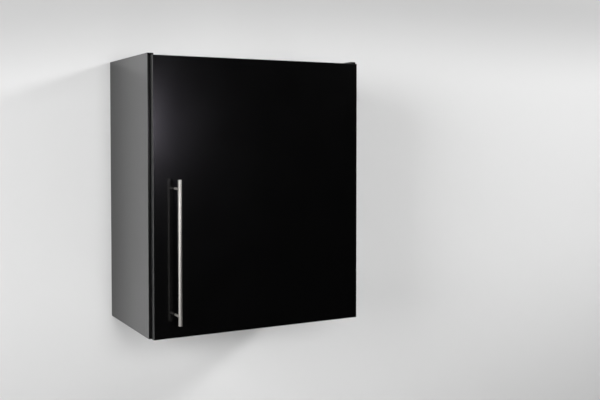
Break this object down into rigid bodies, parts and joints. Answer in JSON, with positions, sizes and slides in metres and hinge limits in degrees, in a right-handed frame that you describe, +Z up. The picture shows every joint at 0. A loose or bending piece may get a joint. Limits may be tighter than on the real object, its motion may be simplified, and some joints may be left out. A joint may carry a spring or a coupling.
{
  "type": "wall cabinet",
  "caption": "Wall-hung cabinet with one overlay door on concealed cup hinges, a vertical bar handle, adjustable shelves and hangers over a wall rail.",
  "frame": {"origin": "on the wall plane, halfway between the two screw holes of the wall rail", "axes": "+Z up, +X to the right as seen from the front, +Y into the wall, so the door faces -Y"},
  "size_m": [0.61, 0.389, 0.72],
  "materials": {
    "black_laminate": "satin black laminate on board",
    "black_band": "satin black edge band",
    "black_hardboard": "black lacquered hardboard",
    "satin_steel": "satin brushed, slightly warm",
    "nickel": "nickel-plated pressed steel",
    "zinc": "zinc-plated",
    "grey_moulding": "moulded",
    "black_moulding": "moulded",
    "beech": "raw beech dowel",
    "clear_silicone": "translucent"
  },
  "bodies": {
    "carcass": {"left_side_panel": "black_laminate", "right_side_panel": "black_laminate", "top_panel": "black_laminate", "bottom_panel": "black_laminate", "back_panel": "black_hardboard", "left_front_band": "black_band", "right_front_band": "black_band", "top_front_band": "black_band", "bottom_front_band": "black_band", "upper_shelf": "black_laminate", "lower_shelf": "black_laminate", "shelf_bands": "black_band", "shelf_pins": "nickel", "cam_housings": "zinc", "cam_bolts": "zinc", "cam_caps": "black_moulding", "wood_dowels": "beech", "left_hanger_body": "grey_moulding", "right_hanger_body": "grey_moulding", "hanger_hooks": "zinc", "hanger_screws": "zinc", "hanger_covers": "black_moulding", "wall_rail": "zinc", "upper_hinge_plate": "nickel", "lower_hinge_plate": "nickel", "upper_hinge_arm": "nickel", "lower_hinge_arm": "nickel", "plate_screws": "zinc", "arm_screws": "zinc"},
    "door": {"door_panel": "black_laminate", "door_left_band": "black_band", "door_right_band": "black_band", "door_top_band": "black_band", "door_bottom_band": "black_band", "upper_hinge_cup": "nickel", "lower_hinge_cup": "nickel", "hinge_pins": "nickel", "cup_screws": "zinc", "handle_bar": "satin_steel", "upper_handle_post": "satin_steel", "lower_handle_post": "satin_steel", "handle_screws": "zinc", "door_bumpers": "clear_silicone"}
  },
  "joints": [
    {"name": "door_swing", "type": "hinge", "parent": "carcass", "child": "door", "pos_m": [0.2911, -0.3415, -0.3], "axis": [0, 0, 1], "range_deg": [0, 100]}
  ]
}
